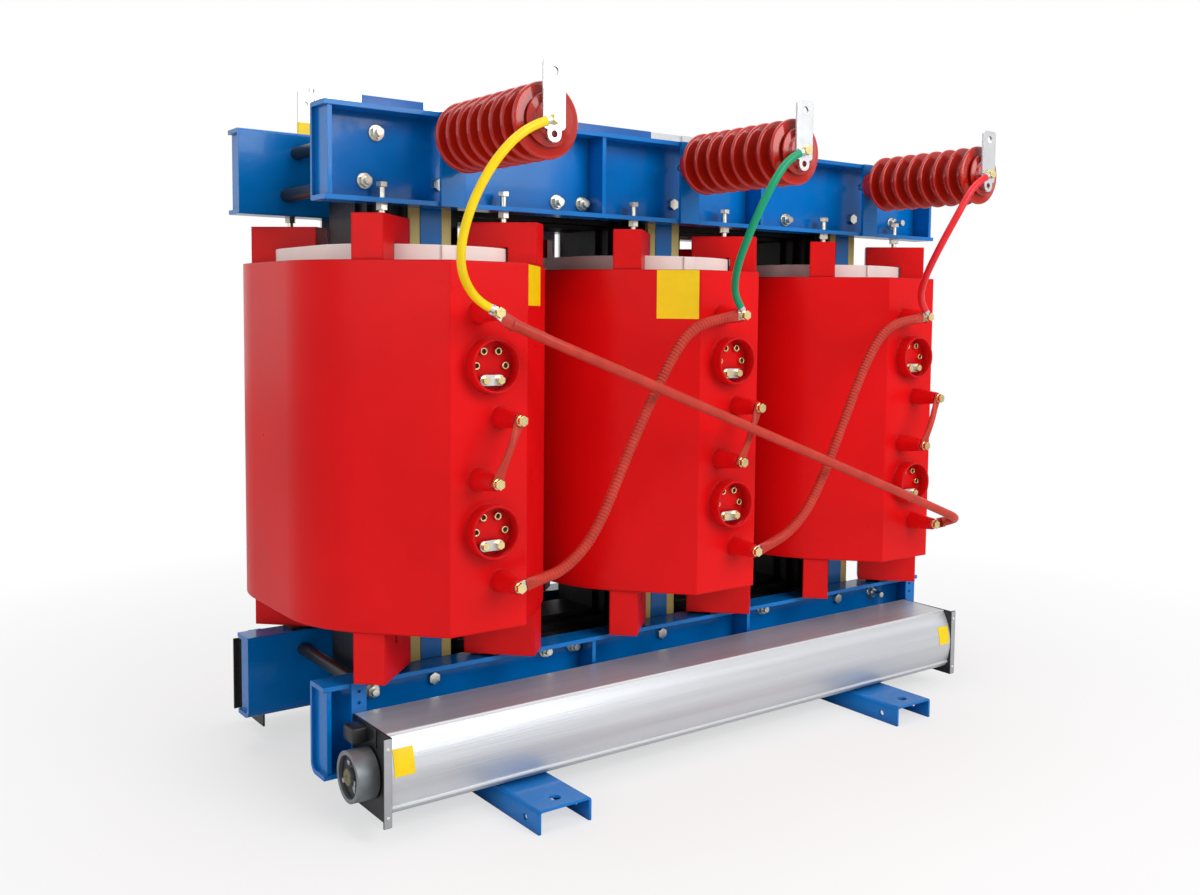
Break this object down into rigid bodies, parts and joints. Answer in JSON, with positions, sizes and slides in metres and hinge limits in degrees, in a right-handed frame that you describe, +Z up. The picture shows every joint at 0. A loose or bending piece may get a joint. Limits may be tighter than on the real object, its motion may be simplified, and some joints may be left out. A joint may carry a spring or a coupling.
{
  "type": "dry type transformer",
  "caption": "Cast resin dry type power transformer: stepped core in channel clamps, oblong coils with tapping rings, ribbed post insulators, and a cross-flow fan along each side.",
  "frame": {"origin": "on the floor under the middle of the core", "axes": "+X along the row of coils, -Y towards the high voltage terminals, +Z up"},
  "size_m": [1.86, 1.256, 1.606],
  "materials": {
    "blue_paint": "glossy enamel",
    "red_resin": "satin cast resin",
    "insulator_resin": "glossy cast resin",
    "core_paint": "black core varnish",
    "board": "glass-fibre laminate",
    "zinc_steel": "zinc plated",
    "brass": "bright",
    "tinned_copper": "tin plated",
    "lv_winding": "foil winding under resin",
    "barrier_sheet": "smooth sheet",
    "yellow_sleeve": "satin",
    "green_sleeve": "satin",
    "red_sleeve": "satin",
    "link_sleeve": "satin sleeve",
    "black_rubber": "matt",
    "fan_sheet": "brushed",
    "fan_end": "matt black",
    "motor_grey": "dark grey"
  },
  "bodies": {
    "transformer": {"barrier_cylinders": "barrier_sheet", "clamp_studs": "zinc_steel", "coil_blocks_a": "red_resin", "coil_blocks_b": "red_resin", "coil_blocks_c": "red_resin", "coil_pads": "black_rubber", "core_limb_a": "core_paint", "core_limb_b": "core_paint", "core_limb_c": "core_paint", "core_lower_yoke": "core_paint", "core_upper_yoke": "core_paint", "delta_link_ac": "link_sleeve", "delta_link_ba": "link_sleeve", "delta_link_cb": "link_sleeve", "fan_brackets": "blue_paint", "fan_front_end_plates": "fan_end", "fan_front_housing": "fan_sheet", "fan_front_motor": "motor_grey", "fan_rear_end_plates": "fan_end", "fan_rear_housing": "fan_sheet", "fan_rear_motor": "motor_grey", "foot_channel_left": "blue_paint", "foot_channel_right": "blue_paint", "foot_packers": "blue_paint", "hv_coil_a": "red_resin", "hv_coil_b": "red_resin", "hv_coil_c": "red_resin", "hv_terminal_straps": "tinned_copper", "insulator_bars": "blue_paint", "insulator_fixings": "zinc_steel", "lead_lugs": "tinned_copper", "limb_strips": "board", "link_lugs": "tinned_copper", "lower_clamp_front": "blue_paint", "lower_clamp_rear": "blue_paint", "lv_coil_a": "lv_winding", "lv_coil_b": "lv_winding", "lv_coil_c": "lv_winding", "lv_phase_bars": "tinned_copper", "lv_support_insulators": "red_resin", "lv_support_plates": "blue_paint", "neutral_busbar": "tinned_copper", "neutral_risers": "tinned_copper", "phase_lead_a": "yellow_sleeve", "phase_lead_b": "green_sleeve", "phase_lead_c": "red_sleeve", "post_insulators": "insulator_resin", "press_boards": "board", "push_bolts": "zinc_steel", "stud_sleeves": "black_rubber", "tap_inserts": "brass", "tap_jumpers": "link_sleeve", "tap_link_plates": "tinned_copper", "terminal_bolts": "brass", "tie_plate_bolts": "zinc_steel", "tie_plates": "blue_paint", "upper_clamp_front": "blue_paint", "upper_clamp_rear": "blue_paint"},
    "front_impeller": {"fan_front_impeller": "fan_sheet"},
    "rear_impeller": {"fan_rear_impeller": "fan_sheet"}
  },
  "joints": [
    {"name": "front_fan_spin", "type": "hinge", "parent": "transformer", "child": "front_impeller", "pos_m": [0, -0.345, 0.118], "axis": [1, 0, 0], "continuous": true},
    {"name": "rear_fan_spin", "type": "hinge", "parent": "transformer", "child": "rear_impeller", "pos_m": [0, 0.345, 0.118], "axis": [-1, 0, 0], "continuous": true}
  ]
}
